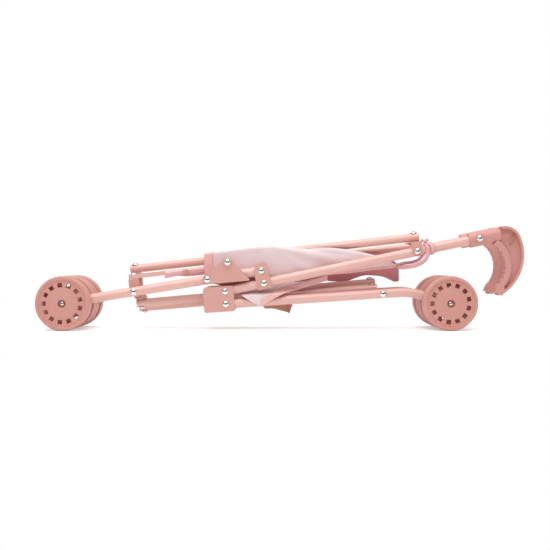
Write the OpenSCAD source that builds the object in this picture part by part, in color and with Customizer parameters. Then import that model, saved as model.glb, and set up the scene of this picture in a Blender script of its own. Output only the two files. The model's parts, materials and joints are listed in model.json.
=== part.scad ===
// Folding doll stroller, shown folded and lying on its wheels.
// X runs from the front wheels to the handles, Y across the frame, Z up from the floor.
// The near side is at -Y and the far side is its mirror image at +Y.
// In-plane points are written [x, z]. Lengths are in millimetres and angles in degrees.

/* [Side frames] */
// Distance between the tube centres of the two folded side frames
frame_gap = 50; // [50:0.5:56]
// Outside diameter of the handle tubes and legs
tube_d = 12; // [11:0.25:12.5]
// Wall of every tube
tube_wall = 0.8; // [0.6:0.1:1.2]
// Slope of the folded handle tubes
handle_slope = 11.75; // [11:0.25:13]
// Place along the frame of the pivot between handle tube and rear leg
root_x = -72; // [-84:0.2:-64]
// Height of that pivot above the wheel axles
root_rise = 15; // [14.5:0.25:18]
// Length of the handle tube above that pivot
handle_len = 350; // [343:1:356]
// Distance from that pivot up to the clip that carries the front leg
clip_station = 51.3; // [49:0.5:56]
// Distance from the handle tube's axis to the front leg's pivot
clip_arm = 16.6; // [15.5:0.25:19]
// Distance from the front leg's pivot to the front axle
front_leg_len = 256.6; // [250:0.2:268]
// Slope of the straight part of the folded rear leg
rear_slope = 3.77; // [3:0.1:4.5]
// Distance below the main pivot of the rivet that holds the rear leg
rear_drop = 16.4; // [15.5:0.25:17]
// Length of the rear leg's straight part
rear_straight = 226.5; // [220:0.5:234]
// Centreline radius of the rear leg's bend
rear_bend_r = 70; // [40:5:90]
// Angle of the rear leg's bend
rear_bend = 20; // [17:0.5:22]

/* [Plates and clips] */
// Thickness of the folded steel plates
plate_t = 1.2; // [1:0.1:1.4]
// Length of the side plate
side_plate_len = 39.6; // [36:0.5:42]
// Height of the side plate
side_plate_h = 33; // [31:0.5:34]
// Width of the pivot clip
clip_w = 19; // [16:0.5:20]
// Distance from the front leg's pivot to the knee plate's lower rivet
knee_station = 70.5; // [68:0.5:74]
// Reach of the knee plate's raised boss above the front leg's axis
knee_rise = 17.8; // [16:0.2:20]
// Thickness of the knee plate
knee_t = 1.5; // [1:0.1:2]

/* [Crossed braces] */
// Outside diameter of the crossed tubes
brace_d = 10.8; // [9.5:0.1:11.2]
// Distance inward from a side frame's tube centre to the crossed tubes' end rivets
brace_inset = 13; // [12:0.25:14]
// Distance from the front leg's pivot to the front brackets' rivet
front_bracket_station = 167.4; // [160:0.5:175]
// Distance from the main pivot to the upper back brackets' rivet
upper_bracket_station = 253.7; // [248:0.5:262]
// Distance from the rear leg's rivet to the lower back brackets' rivet
lower_bracket_station = 203.9; // [198:0.5:210]
// Height of the upper brace's top layer over the front bracket's rivet
upper_front_rise = 29.6; // [28:0.2:32]
// Height of the upper brace's top layer over the upper back bracket's rivet
upper_back_rise = 18.6; // [18:0.1:22]
// Depth of the lower brace's bottom layer under the front bracket's rivet
lower_front_drop = 22.4; // [21:0.2:25]
// Height of the lower brace's bottom layer over the lower back bracket's rivet
lower_back_rise = 7.6; // [7.6:0.1:9]
// Forward offset of the lower brace's front rivet
lower_front_reach = 6.9; // [4:0.1:8]
// Forward offset of the lower brace's back rivet
lower_back_reach = 12; // [11.6:0.1:13]
// Distance between the layers of the lower brace, whose tubes are pressed in where they cross
lower_layer = 6.6; // [6.4:0.1:8]
// Length of the flattened front end of the upper brace's bottom tube
flat_len = 42; // [30:1:50]
// Thickness of that flattened end
flat_t = 5.6; // [4:0.1:6]
// Thickness of the swivel brackets
bracket_t = 1.5; // [1:0.1:1.6]
// Width of the swivel brackets
bracket_w = 13; // [12:0.25:14]

/* [Wheels] */
// Radius of the wheels
wheel_r = 35; // [32:0.5:38]
// Width of one wheel
wheel_w = 17; // [14:0.5:17]
// Width of the slot between the two wheels of a pair
wheel_slot = 14; // [13:0.2:14.2]
// Number of openings in a wheel's face
spoke_slots = 13; // [9:1:15]
// Radius of the dome in the middle of a wheel
dome_r = 20; // [16:0.5:21]
// Thickness of the wheels' moulded walls
wheel_wall = 2; // [1.4:0.1:2.6]
// Radius of the axle pins
axle_r = 2.2; // [1.8:0.1:2.6]

/* [Handles] */
// Outside diameter of the handle's sleeve
sleeve_d = 19; // [17:0.5:21]
// Length of the handle's sleeve
sleeve_len = 40; // [38:0.5:46]
// Length of handle tube inside the sleeve
sleeve_grip = 27.5; // [24:0.5:32]
// Distance from the sleeve's mouth to its screw
screw_inset = 12.5; // [11:0.5:17]
// Outer radius of the hooked grip
hook_r = 60.5; // [56:0.5:66]
// Inner radius of the hooked grip
hook_inner_r = 35.5; // [33:0.5:38]
// Outer radius of the corner above the hook
hook_corner_r = 21.5; // [19:0.5:24]
// Width of the hooked grip
hook_w = 15; // [12:0.5:18]
// Thickness of the hook's outer rim
hook_rim = 3.2; // [2.4:0.1:4]
// Thickness of the hook's recessed web
hook_web = 4.4; // [3:0.2:6]
// Depth of the ribbed band inside the hook
grip_band = 7.5; // [6:0.25:9]

/* [Rivets] */
// Radius of the rivets
rivet_r = 2; // [1.6:0.1:2.2]
// Radius of the rivets' dome heads
head_r = 4.5; // [4:0.1:5]
// Height of the rivets' dome heads
head_h = 2.6; // [2:0.1:3]
// Thickness of the rivets' closed ends
tail_h = 1; // [0.6:0.1:1.2]
// Radial clearance of every pin in its hole
pin_clearance = 0.05; // [0.02:0.01:0.08]
// Radial play of the open front pivots
open_play = 2.3; // [2.2:0.1:2.6]

/* [Cloth] */
// Thickness of the solid that stands for the cloth
cloth_t = 0.8; // [0.6:0.1:1]
// Gap that the cloth keeps to the tubes
cloth_gap = 0.5; // [0.4:0.1:0.8]
// Distance of the cloth panels from the middle of the frame
cloth_half = 16; // [15.6:0.1:16.2]

/* [Hidden] */
$fn = 64;

// Colours
paint = "#e9b3a8";
moulded = "#cf968c";
steel = "#c9c5c2";
cloth = "#ead0d6";
binding = "#e2a2a6";

// Small shared sizes
far_past = 60;
seat_play = 0.2;
bore_stop = 3;
// The bend is a hair thicker than the straight tubes, which run a little way into it
bend_swell = 0.03;
bend_lap = 0.5;
layer_play = 0.1;
head_play = 0.3;
tube_r = tube_d / 2;
brace_r = brace_d / 2;
pin_hole_r = rivet_r + pin_clearance;
tail_r = rivet_r * 1.7;

// A point that lies d along the direction a from p, and off to the left of that direction
function along(p, a, d, off = 0) = [
    p[0] + d * cos(a) - off * sin(a),
    p[1] + d * sin(a) + off * cos(a)
];
function turn(p, a) = [p[0] * cos(a) - p[1] * sin(a), p[0] * sin(a) + p[1] * cos(a)];
function arc(c, r, a0, a1, n) = [for (i = [0:n]) c + r * [cos(a0 + (a1 - a0) * i / n), sin(a0 + (a1 - a0) * i / n)]];

// Pivots of one side frame
root = [root_x, wheel_r + root_rise];
clip_root = along(root, handle_slope, clip_station);
leg_top = along(clip_root, handle_slope, 0, clip_arm);
front_slope = asin((leg_top[1] - wheel_r) / front_leg_len);
front_dir = 180 + front_slope;
front_hub = along(leg_top, front_dir, front_leg_len);
front_pin = along(leg_top, front_dir, front_bracket_station);
knee = along(leg_top, front_dir, knee_station);
upper_pin = along(root, handle_slope, upper_bracket_station);
rear_root = [root_x + 1, root[1] - rear_drop];
lower_pin = along(rear_root, rear_slope, lower_bracket_station);

// The rear leg's bend and tail, down to the axle
tail_slope = rear_bend - rear_slope;
bend_start = along(rear_root, rear_slope, rear_straight);
bend_centre = along(bend_start, rear_slope, 0, -rear_bend_r);
bend_end = along(bend_centre, -tail_slope, 0, rear_bend_r);
tail_len = (bend_end[1] - wheel_r) / sin(tail_slope);
rear_hub = along(bend_end, -tail_slope, tail_len);

// Widths across one side frame, measured inward from its tube centres
channel_in = tube_r + seat_play;
channel_out = channel_in + plate_t;
bracket_in = tube_r + seat_play;
second_ear = bracket_in + bracket_t + seat_play;

// The layers of the crossed tubes, and how deep the lower ones are pressed in where they cross
layer = brace_d + bracket_t + 2 * layer_play;
press = brace_r + layer_play - lower_layer / 2;
press_half = 58;
brace_half = frame_gap / 2 - brace_inset;
end_pad = bracket_w / 2;

// A brace runs in a plane that is tilted from front to back.
// The two rises are the heights of one layer over the front and back rivets.
function pivot_gap(p, q) = norm(q - p);
function brace_tilt(p, q, front_up, back_up) =
    atan2(q[1] - p[1], q[0] - p[0]) - asin((front_up - back_up) / pivot_gap(p, q));
function brace_run(p, q, front_up, back_up, front_in, back_in) =
    sqrt(pow(pivot_gap(p, q), 2) - pow(front_up - back_up, 2)) - front_in - back_in;

upper_tilt = brace_tilt(front_pin, upper_pin, upper_front_rise, upper_back_rise);
upper_run = brace_run(front_pin, upper_pin, upper_front_rise, upper_back_rise, 0, 0);
lower_tilt = brace_tilt(front_pin, lower_pin, -lower_front_drop, lower_back_rise);
lower_run = brace_run(
    front_pin, lower_pin, -lower_front_drop, lower_back_rise, lower_front_reach, lower_back_reach
);
upper_len = norm([upper_run, 2 * brace_half]);
lower_len = norm([lower_run, 2 * brace_half]);
upper_spread = atan2(2 * brace_half, upper_run);
lower_spread = atan2(2 * brace_half, lower_run);

// Heights of the bracket tabs, measured from their rivets to the tab's underside
upper_back_tab = upper_back_rise - brace_r - layer_play - bracket_t;
upper_near_tab = upper_front_rise - layer + brace_r - flat_t - head_play - bracket_t;
upper_far_tab = upper_front_rise - brace_r - head_play - bracket_t;
lower_back_near_tab = lower_back_rise - brace_r - layer_play - bracket_t;
lower_back_far_tab = lower_back_near_tab + lower_layer;
lower_near_tab = lower_layer - lower_front_drop + brace_r + head_play;
lower_far_tab = -lower_front_drop + brace_r + head_play;

// Wheels: distances from the tube centre, out to the face, its dome and the floor of its eye
wheel_inner = wheel_slot / 2;
wheel_recess = 1.6;
dome_bulge = 2.2;
eye_deep = 4;
wheel_face = wheel_w - wheel_recess;
eye_floor = wheel_face + dome_bulge - eye_deep;
hub_start = tube_r + head_play - wheel_inner;
axle_reach = wheel_inner + eye_floor + head_play;

// ---------- helpers ----------

// Put children at an in-plane point, turned so that their X runs along the slope
module at(p, slope = 0) {
    translate([p[0], 0, p[1]]) rotate([0, -slope, 0]) children();
}

// Put children in the near side frame (the centre plane of its tubes), or mirror them to the far one
module on_side(far) {
    mirror([0, far ? 1 : 0, 0]) translate([0, -frame_gap / 2, 0]) children();
}

// An in-plane outline made solid from y0 to y0 + t
module plate(y0, t) {
    translate([0, y0 + t, 0]) rotate([90, 0, 0]) linear_extrude(t) children();
}

module rod_x(x0, x1, r) {
    translate([x0, 0, 0]) rotate([0, 90, 0]) cylinder(h = x1 - x0, r = r);
}

module rod_y(y0, y1, r) {
    translate([0, y0, 0]) rotate([-90, 0, 0]) cylinder(h = y1 - y0, r = r);
}

// A dome that rises along +Z from its flat underside
module dome(r, h) {
    ball_r = (r * r + h * h) / (2 * h);
    intersection() {
        translate([0, 0, h - ball_r]) sphere(r = ball_r);
        cylinder(h = h, r = r + 1);
    }
}

// A rivet along Y with its dome outside and its closed end inside
module side_rivet(outer, inner) {
    rod_y(-outer, inner, rivet_r);
    translate([0, -outer, 0]) rotate([90, 0, 0]) dome(head_r, head_h);
    rod_y(inner, inner + tail_h, tail_r);
}

module across_hole(r = pin_hole_r) {
    rod_y(-far_past, far_past, r);
}

// The rounded end of a tube, round the rivet at the origin
module rounded_end() {
    intersection() {
        rod_x(-tube_r - 1, 1, tube_r);
        rod_y(-tube_r, tube_r, tube_r);
    }
}

// A tube from the rivet at the origin along +X, with a rounded closed end and an open far end
module leg_tube(len, bore_from) {
    difference() {
        union() {
            rod_x(0, len, tube_r);
            rounded_end();
        }
        rod_x(bore_from, len + 1, tube_r - tube_wall);
    }
}

// ---------- side frames ----------

module handle_tube() {
    at(root, handle_slope) difference() {
        leg_tube(handle_len, tube_d);
        across_hole();
        translate([clip_station, 0, 0]) across_hole();
        translate([upper_bracket_station, 0, 0]) across_hole();
        translate([handle_len - sleeve_grip + screw_inset, 0, 0]) across_hole();
    }
}

module front_leg() {
    at(leg_top, front_dir) difference() {
        leg_tube(front_leg_len + tube_r, tube_d);
        across_hole();
        translate([knee_station, 0, 0]) across_hole();
        translate([front_bracket_station, 0, 0]) across_hole();
        translate([front_leg_len, 0, 0]) across_hole(axle_r + pin_clearance);
    }
}

module rear_leg() {
    bore = tube_r - tube_wall;
    difference() {
        union() {
            at(rear_root, rear_slope) {
                rod_x(0, rear_straight + bend_lap, tube_r);
                rounded_end();
            }
            at(bend_centre, -tail_slope) rotate([90, 0, 0]) rotate([0, 0, 90])
                rotate_extrude(angle = rear_bend) translate([rear_bend_r, 0]) circle(r = tube_r + bend_swell);
            at(bend_end, -tail_slope) rod_x(-bend_lap, tail_len + tube_r, tube_r);
        }
        at(rear_root, rear_slope) rod_x(-tube_d, rear_straight - bore_stop, bore);
        at(bend_end, -tail_slope) rod_x(bore_stop, tail_len + tube_d, bore);
        at(rear_root, rear_slope) across_hole();
        at(lower_pin, rear_slope) across_hole();
        at(rear_hub) across_hole(axle_r + pin_clearance);
    }
}

// A folded channel: two ears and the web that joins them
module channel(web_z) {
    difference() {
        plate(-channel_out, 2 * channel_out) children();
        translate([-far_past, -channel_in, web_z + plate_t]) cube([2 * far_past, 2 * channel_in, 2 * far_past]);
    }
}

// The side plate's back and top edges, measured from the pivot between handle tube and rear leg
side_plate_back = 11.4;
side_plate_top = 7;

module side_plate_outline() {
    corner = 2.5;
    big_corner = 5;
    right = side_plate_back;
    left = right - side_plate_len;
    top = side_plate_top;
    bottom = top - side_plate_h;
    polygon(concat(
        arc([left + big_corner, top - big_corner], big_corner, 180, 90, 10),
        arc([right - corner, top - corner], corner, 90, 0, 6),
        arc([right - corner, bottom + corner], corner, 0, -90, 6),
        arc([left + corner, bottom + corner], corner, -90, -180, 6)
    ));
}

module side_plate() {
    difference() {
        at(root, rear_slope) channel(side_plate_top - side_plate_h) side_plate_outline();
        at(root) across_hole();
        at(rear_root) across_hole();
    }
}

module pivot_clip() {
    half = clip_w / 2;
    web = tube_r + seat_play + plate_t;
    at(clip_root, handle_slope) difference() {
        channel(-web) polygon(concat(
            arc([0, clip_arm], half, 0, 180, 24),
            [[-half, 1.2 - web], [1.2 - half, -web], [half - 1.2, -web], [half, 1.2 - web]]
        ));
        across_hole();
        translate([0, 0, clip_arm]) across_hole();
    }
}

knee_boss = 29.4;
knee_tip = 54;
knee_sag = -9.8;
knee_corner = 6.2;
boss_h = 2.8;
knee_in = channel_out + seat_play;

module knee_plate() {
    at(knee, front_slope) difference() {
        union() {
            plate(-knee_in - knee_t, knee_t) polygon(concat(
                arc([0, 0], knee_corner, 125, 280, 16),
                [[knee_tip - 1.5, knee_sag], [knee_tip, knee_sag + 1.2]],
                arc([knee_boss, knee_rise], knee_corner, 40, 125, 10)
            ));
            translate([knee_boss, -knee_in - knee_t, knee_rise])
                rotate([90, 0, 0]) cylinder(h = boss_h, r1 = knee_corner - 0.4, r2 = head_r + 0.2);
        }
        across_hole();
        translate([knee_boss, 0, knee_rise]) across_hole();
    }
}

module handle_rivets() {
    at(clip_root, handle_slope) {
        side_rivet(channel_out, channel_out);
        translate([0, 0, clip_arm]) side_rivet(channel_out, channel_out);
    }
    at(upper_pin) side_rivet(bracket_in + bracket_t + seat_play, tube_r);
}

module front_rivets() {
    at(knee, front_slope) {
        side_rivet(knee_in + knee_t, tube_r);
        translate([knee_boss, 0, knee_rise]) side_rivet(knee_in + knee_t + boss_h, -knee_in);
    }
    at(front_pin) side_rivet(tube_r, second_ear + bracket_t + seat_play);
}

module rear_rivets() {
    at(root) side_rivet(channel_out, channel_out);
    at(rear_root) side_rivet(channel_out, channel_out);
    at(lower_pin) side_rivet(tube_r, bracket_in + bracket_t + seat_play);
}

// ---------- swivel brackets and crossed tubes ----------

// A bracket with one ear beside the tube and a folded tab above (or below) it.
// The ear lies from ear_y inward, the tab's underside is at tab_z and its rivet is shifted by reach.
// A gusset fills the ear under a low tab.
module swivel_bracket(ear_y, tab_z, reach, hole, gusset = 0) {
    up = tab_z > 0;
    edge = up ? tab_z + bracket_t : tab_z;
    half = bracket_w / 2;
    difference() {
        union() {
            rod_y(ear_y, ear_y + bracket_t, half);
            plate(ear_y, bracket_t) polygon([
                [-half, 0], [half, 0], [reach + half, edge], [reach - half, edge]
            ]);
            if (gusset > 0) plate(ear_y, bracket_t) polygon([
                [0, 0], [reach, edge], [reach - half, edge], [reach - half, edge - gusset], [-half * 0.6, -half * 0.8]
            ]);
            translate([reach - half, ear_y, tab_z])
                cube([bracket_w, brace_inset - ear_y, bracket_t]);
            translate([reach, brace_inset, tab_z]) cylinder(h = bracket_t, r = half);
        }
        across_hole();
        translate([reach, brace_inset, tab_z - 1]) cylinder(h = bracket_t + 2, r = hole);
    }
}

open_hole_r = rivet_r + open_play;

module upper_front_bracket(tab_z) {
    at(front_pin, upper_tilt) swivel_bracket(bracket_in, tab_z, 0, open_hole_r);
}

module lower_front_bracket(tab_z) {
    at(front_pin, lower_tilt) swivel_bracket(second_ear, tab_z, lower_front_reach, open_hole_r);
}

// The upper back bracket clasps the handle tube from outside
module upper_back_bracket() {
    at(upper_pin, upper_tilt) swivel_bracket(-bracket_in - bracket_t, upper_back_tab, 0, pin_hole_r);
}

module lower_back_bracket(tab_z) {
    at(lower_pin, lower_tilt) swivel_bracket(bracket_in, tab_z, -lower_back_reach, pin_hole_r, 5);
}

// A rivet along Z through a tab and a brace end: dome on one side, closed end on the other
module end_rivet(z_dome, z_tail, tail) {
    down = z_dome < z_tail;
    low = min(z_dome, z_tail);
    translate([0, 0, low]) cylinder(h = abs(z_tail - z_dome), r = rivet_r);
    translate([0, 0, z_dome]) mirror([0, 0, down ? 1 : 0]) dome(head_r, head_h);
    if (tail) translate([0, 0, down ? z_tail : z_tail - tail_h]) cylinder(h = tail_h, r = tail_r);
}

// Back rivets: the near end rests on its tab and the far end of the other layer hangs under it
module upper_back_rivet(far) {
    z_tab = far ? upper_back_tab + bracket_t : upper_back_tab;
    z_tube = far ? upper_back_rise - layer - brace_r : upper_back_rise + brace_r;
    at(upper_pin, upper_tilt) translate([0, brace_inset, 0]) {
        if (far) end_rivet(z_tab, z_tube, true);
        else end_rivet(z_tube, z_tab, true);
    }
}

module lower_back_rivet(tab_z, rise) {
    at(lower_pin, lower_tilt) translate([-lower_back_reach, brace_inset, 0])
        end_rivet(rise + brace_r, tab_z, true);
}

// A brace along +X from its front rivet, open at its round ends.
// A flat front end keeps the tube's top. pressed is 1 or -1 for a dent in its top or underside.
module brace_tube(len, cross_hole, flat = false, pressed = 0) {
    taper = flat_len * 1.7;
    bore = brace_r - tube_wall;
    dent = press_half + 4 * press;
    difference() {
        if (flat) flat_brace(len, taper);
        else rod_x(-end_pad, len + end_pad, brace_r);
        rod_x(pressed == 0 ? (flat ? taper + 4 : -end_pad - 1) : len / 2 + dent + 2, len + end_pad + 1, bore);
        if (pressed != 0) rod_x(-end_pad - 1, len / 2 - dent - 2, bore);
        if (pressed != 0) translate([len / 2, 0, 0]) mirror([0, 0, pressed > 0 ? 0 : 1])
            plate(-brace_r - 1, brace_d + 2) polygon([
                [-dent, brace_r], [-press_half, brace_r - press], [press_half, brace_r - press], [dent, brace_r],
                [dent, brace_r + 1], [-dent, brace_r + 1]
            ]);
        translate([0, 0, -brace_d]) cylinder(h = 2 * brace_d, r = pin_hole_r);
        translate([len / 2, 0, -brace_d]) cylinder(h = 2 * brace_d, r = cross_hole);
        translate([len, 0, -brace_d]) cylinder(h = 2 * brace_d, r = pin_hole_r);
    }
}

// The tube with its front end pressed flat, level with its top
module flat_brace(len, taper) {
    cut = brace_d - flat_t;
    neck = flat_len * 0.6;
    difference() {
        union() {
            rod_x(flat_len - 1, len + end_pad, brace_r);
            translate([0, 0, brace_r - flat_t]) linear_extrude(flat_t) polygon([
                [0, -end_pad], [neck, -end_pad], [flat_len, -brace_r], [flat_len, brace_r],
                [neck, end_pad], [0, end_pad]
            ]);
            translate([0, 0, brace_r - flat_t]) cylinder(h = flat_t, r = end_pad);
        }
        plate(-brace_r - 1, brace_d + 2) polygon([
            [flat_len - 2, cut - brace_r], [flat_len, cut - brace_r],
            [taper, -brace_r], [taper, -brace_r - 1], [flat_len - 2, -brace_r - 1]
        ]);
    }
}

cross_play = 0.7;

// A brace starts at the front on one side and ends at the back on the other
module place_upper(near_front, rise) {
    at(front_pin, upper_tilt) translate([0, near_front ? -brace_half : brace_half, rise])
        rotate([0, 0, near_front ? upper_spread : -upper_spread]) children();
}

module place_lower(near_front, rise) {
    at(front_pin, lower_tilt)
        translate([lower_front_reach, near_front ? -brace_half : brace_half, rise])
            rotate([0, 0, near_front ? lower_spread : -lower_spread]) children();
}

upper_top = upper_front_rise;
upper_bottom = upper_front_rise - layer;
lower_bottom = -lower_front_drop;
lower_top = lower_layer - lower_front_drop;

module cross_rivet(gap) {
    washer_r = 4;
    end_rivet(brace_r, -gap - brace_r, true);
    if (gap > brace_d) translate([0, 0, layer_play - gap + brace_r])
        cylinder(h = gap - brace_d - 2 * layer_play, r = washer_r);
}

// ---------- wheels ----------

// One wheel on the Y axis, its face at +Y and its open back at -Y from y0
module wheel(y0) {
    rim_wall = 3;
    rim_in = wheel_r * 0.86;
    hub_r = 6;
    eye_r = 5.2;
    slot_at = wheel_r * 0.675;
    slot_long = 5.6;
    slot_wide = 6;
    groove = 0.7;
    back = wheel_face - wheel_wall;
    bore = axle_r + pin_clearance;
    translate([0, y0, 0]) rotate([-90, 0, 0]) difference() {
        rotate_extrude($fn = 96) polygon(concat(
            [[bore, hub_start], [hub_r, hub_start], [hub_r, back],
             [wheel_r - rim_wall, back], [wheel_r - rim_wall, 0], [wheel_r - 1, 0], [wheel_r, 1],
             [wheel_r, 5], [wheel_r - groove, 5.4], [wheel_r - groove, 6.6], [wheel_r, 7],
             [wheel_r, wheel_w - 3.4], [wheel_r - groove, wheel_w - 3],
             [wheel_r - groove, wheel_w - 1], [wheel_r - 1.4, wheel_w],
             [rim_in + 0.8, wheel_w], [rim_in + 0.8, wheel_face + 0.7], [rim_in, wheel_face], [dome_r, wheel_face]],
            [for (i = [1:7]) [dome_r + (eye_r - dome_r) * i / 7, wheel_face + dome_bulge * sin(90 * i / 7)]],
            [[eye_r, eye_floor], [bore, eye_floor]]
        ));
        for (i = [0:spoke_slots - 1]) rotate([0, 0, (i + 0.5) * 360 / spoke_slots])
            translate([slot_at - slot_long / 2, -slot_wide / 2, back - 1])
                cube([slot_long, slot_wide, wheel_wall + 2]);
    }
}

module wheel_pair(hub, outer) {
    at(hub) {
        if (outer) mirror([0, 1, 0]) wheel(wheel_inner);
        else wheel(wheel_inner);
    }
}

module axle(hub) {
    axle_head_r = head_r * 0.85;
    axle_head_h = head_h * 0.9;
    at(hub) {
        rod_y(-axle_reach, axle_reach, axle_r);
        translate([0, -axle_reach, 0]) rotate([90, 0, 0]) dome(axle_head_r, axle_head_h);
        translate([0, axle_reach, 0]) rotate([-90, 0, 0]) dome(axle_head_r, axle_head_h);
    }
}

// ---------- handles ----------

hook_join = 12;
hook_foot = -67;
hook_inner_from = 42;
hook_inner_to = -58;
hook_x = -34.8;
hook_drop = sleeve_d / 2 - hook_corner_r - (hook_r - hook_corner_r) * sin(hook_join);
hook_centre = [hook_x, hook_drop];
corner_centre = hook_centre + (hook_r - hook_corner_r) * [cos(hook_join), sin(hook_join)];
inner_drop = -sleeve_d / 2 - hook_inner_r * sin(hook_inner_from) - 1.4;
inner_centre = [hook_x - 2.1, inner_drop];
sleeve_top = handle_len - sleeve_grip + sleeve_len;

// The band that runs along the hook's outside, as deep as its depth
module hook_outer_band(depth) {
    polygon(concat(
        arc(hook_centre, hook_r, hook_foot, hook_join, 28),
        arc(corner_centre, hook_corner_r, hook_join, 90, 14),
        arc(corner_centre, hook_corner_r - depth, 90, hook_join, 14),
        arc(hook_centre, hook_r - depth, hook_join, hook_foot, 28)
    ));
}

module hook_inner_band() {
    polygon(concat(
        arc(inner_centre, hook_inner_r, hook_inner_to, hook_inner_from, 28),
        arc(inner_centre, hook_inner_r + grip_band, hook_inner_from, hook_inner_to, 28)
    ));
}

module hook_outline() {
    polygon(concat(
        arc(hook_centre, hook_r, hook_foot, hook_join, 28),
        arc(corner_centre, hook_corner_r, hook_join, 90, 14),
        [[0, sleeve_d / 2], [-8, 0], [-8, -sleeve_d / 2]],
        arc(inner_centre, hook_inner_r, hook_inner_from, hook_inner_to, 28)
    ));
}

module hook_knob() {
    knob = (arc(hook_centre, hook_r, hook_foot, hook_foot, 1)[0]
        + arc(inner_centre, hook_inner_r, hook_inner_to, hook_inner_to, 1)[0]) / 2;
    knob_r = 6;
    translate([knob[0], 0, knob[1]]) rod_y(-hook_w / 2, hook_w / 2, knob_r);
    for (a = [190, 235, 280]) translate([knob[0] + knob_r * cos(a), 0, knob[1] + knob_r * sin(a)])
        rod_y(-hook_w / 2, hook_w / 2, 1.6);
}

module grip() {
    bore = tube_r + pin_clearance;
    groove_r = 0.8;
    boss_r = 6.2;
    screw_x = handle_len - sleeve_grip + screw_inset;
    at(root, handle_slope) difference() {
        union() {
            rod_x(handle_len - sleeve_grip, sleeve_top, sleeve_d / 2);
            translate([screw_x, 0, 0]) rod_y(-sleeve_d / 2 - 0.6, sleeve_d / 2, boss_r);
            translate([sleeve_top, 0, 0]) {
                plate(-hook_web / 2, hook_web) hook_outline();
                plate(-hook_w / 2, hook_w) hook_outer_band(hook_rim);
                plate(-hook_w / 2, hook_w) hook_inner_band();
                plate(-hook_w / 2, hook_w) polygon([[20.2, -3.4], [22, -1.8], [10.6, -11.6], [8.8, -13.4]]);
                hook_knob();
            }
        }
        rod_x(handle_len - sleeve_grip - 1, handle_len + pin_clearance, bore);
        translate([screw_x, 0, 0]) across_hole();
        // Grooves across the band where the fingers rest
        translate([sleeve_top + inner_centre[0], 0, inner_centre[1]]) for (a = [30:-11:-47])
            rotate([0, -a, 0]) translate([hook_inner_r, 0, 0]) rod_y(-hook_w, hook_w, groove_r);
    }
}

module grip_screw() {
    screw_x = handle_len - sleeve_grip + screw_inset;
    at(root, handle_slope) translate([screw_x, 0, 0]) side_rivet(sleeve_d / 2 + 0.6, sleeve_d / 2);
}

// ---------- cloth ----------

// Panels inside each side frame and the web over the top brace, as one closed solid
cloth_front = root[0] - 27.4;
cloth_peak = root[0] + 94.6;
cloth_top = 1.4;
function brace_top_z(x) =
    along(front_pin, upper_tilt, (x - front_pin[0]) / cos(upper_tilt), upper_top + brace_r + cloth_gap)[1];

function above_root(x, z) = [root[0] + x, root[1] + z];

module back_panel_outline() {
    polygon([
        [cloth_front, brace_top_z(cloth_front) + cloth_top], [cloth_peak, brace_top_z(cloth_peak) + cloth_top],
        above_root(130.6, 60.5), above_root(162.6, 55.5), above_root(194.6, 48), above_root(228.6, 35.5),
        above_root(230.6, 21), above_root(200.6, 20), above_root(130.6, 12), above_root(90.6, 9),
        above_root(40.6, 14.5), above_root(-27.4, 20.5)
    ]);
}

module back_cloth() {
    rivet_space = 6.5;
    difference() {
        union() {
            for (side = [-1, 1]) plate(side * cloth_half - cloth_t / 2, cloth_t) back_panel_outline();
            plate(-cloth_half, 2 * cloth_half) polygon([
                [cloth_front, brace_top_z(cloth_front)], [cloth_peak, brace_top_z(cloth_peak)],
                [cloth_peak, brace_top_z(cloth_peak) + cloth_top],
                [cloth_front, brace_top_z(cloth_front) + cloth_top]
            ]);
        }
        place_upper(false, upper_top) translate([upper_len / 2, 0, 0]) cylinder(h = 30, r = rivet_space);
    }
}

// The lower flap passes out between handle tube and rear leg and hangs over the leg
flap_z = root[1] - 3.1;

module seat_cloth() {
    outer = frame_gap / 2 + tube_r + cloth_gap + cloth_t;
    inner = cloth_half - cloth_t / 2;
    plate(-inner, cloth_t) polygon([
        above_root(22.6, -3.1), above_root(48.6, -18.5), above_root(52.6, -21.5), above_root(76.6, -24.5),
        above_root(85.6, -26.5), above_root(88.6, -13.5), above_root(100.6, -3.1), above_root(130.6, 4.5),
        above_root(130.6, 8.5), above_root(40.6, 10.5)
    ]);
    translate([root[0] + 22.6, -outer, flap_z]) cube([70, outer - inner + cloth_t, cloth_t]);
    plate(-outer, cloth_t) polygon([
        above_root(22.6, cloth_t - 3.1), above_root(92.6, cloth_t - 3.1),
        above_root(66.6, -11.5), above_root(46.6, -18.5)
    ]);
}

strap_in = 13;

// The ribbon that ties the folded frame, round the near handle tube
module tie_strap() {
    strap_w = 5;
    station = upper_bracket_station + strap_in;
    ring_in = tube_r + cloth_gap;
    ring_out = ring_in + 1.1;
    edge = -frame_gap / 2 + ring_out;
    translate([0, -frame_gap / 2, 0]) at(root, handle_slope) difference() {
        rod_x(station, station + strap_w, ring_out);
        rod_x(station - 1, station + strap_w + 1, ring_in);
    }
    start = along(root, handle_slope, station, -ring_in);
    stop = along(root, handle_slope, station + strap_w, -2);
    plate(edge - 0.6, 0.6 - edge - cloth_half - cloth_t / 2 - 0.1) polygon([
        start, stop, above_root(232.6, 32.5), above_root(228.6, 28.5)
    ]);
}

// The safety strap and its small buckle beside the lower layer of the upper braces
module seat_belt() {
    strap_z = upper_bottom;
    buckle_x = 66;
    beside = -13.5;
    at(front_pin, upper_tilt) {
        translate([buckle_x - 4, beside - 4, strap_z - 1.6]) cube([8.4, 4, 8.4]);
        translate([buckle_x + 4, beside - 1.2, strap_z - 3.4]) cube([20, 1.2, 7]);
    }
}

// ---------- nodes ----------

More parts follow.
